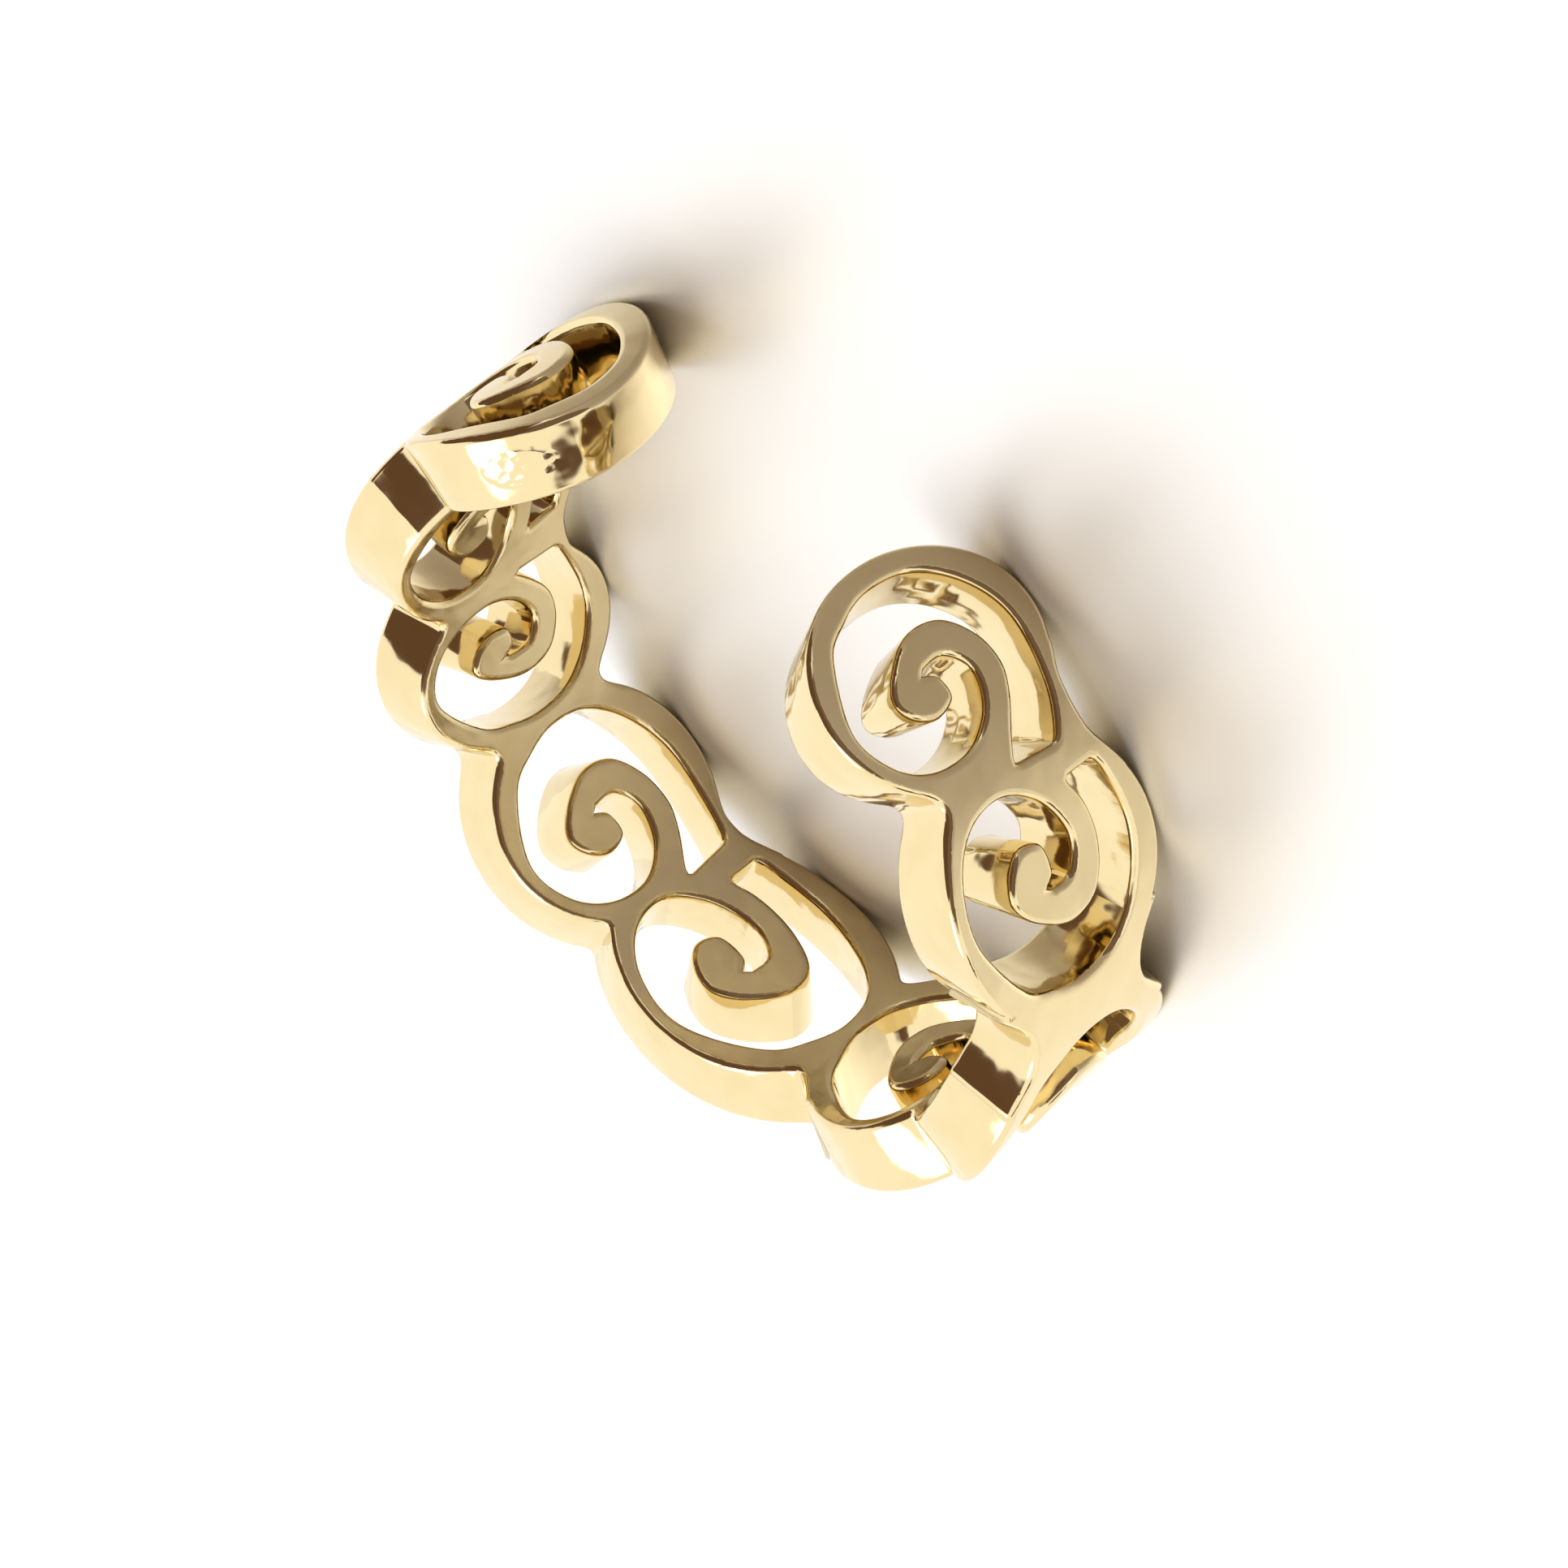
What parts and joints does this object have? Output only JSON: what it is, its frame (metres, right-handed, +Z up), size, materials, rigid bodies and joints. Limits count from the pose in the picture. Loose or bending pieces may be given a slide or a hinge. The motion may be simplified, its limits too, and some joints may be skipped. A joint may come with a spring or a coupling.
{
  "type": "ear cuff",
  "caption": "Polished gold ear cuff: an open C-shaped band of round lobes, each pierced with a spiral scroll, that slips over the edge of an ear.",
  "frame": {"origin": "middle of the bounding box in plan, at the height of the surface it lies on", "axes": "+Z up along the axis of the C (the band's width), +Y towards the mouth of the C, X across it, from the long curled end at -X to the tighter bend at +X"},
  "size_m": [0.0124, 0.0112, 0.0036],
  "materials": {
    "polished_gold": "polished pale yellow gold"
  },
  "bodies": {
    "root": {"scroll_band": "polished_gold"}
  },
  "joints": []
}
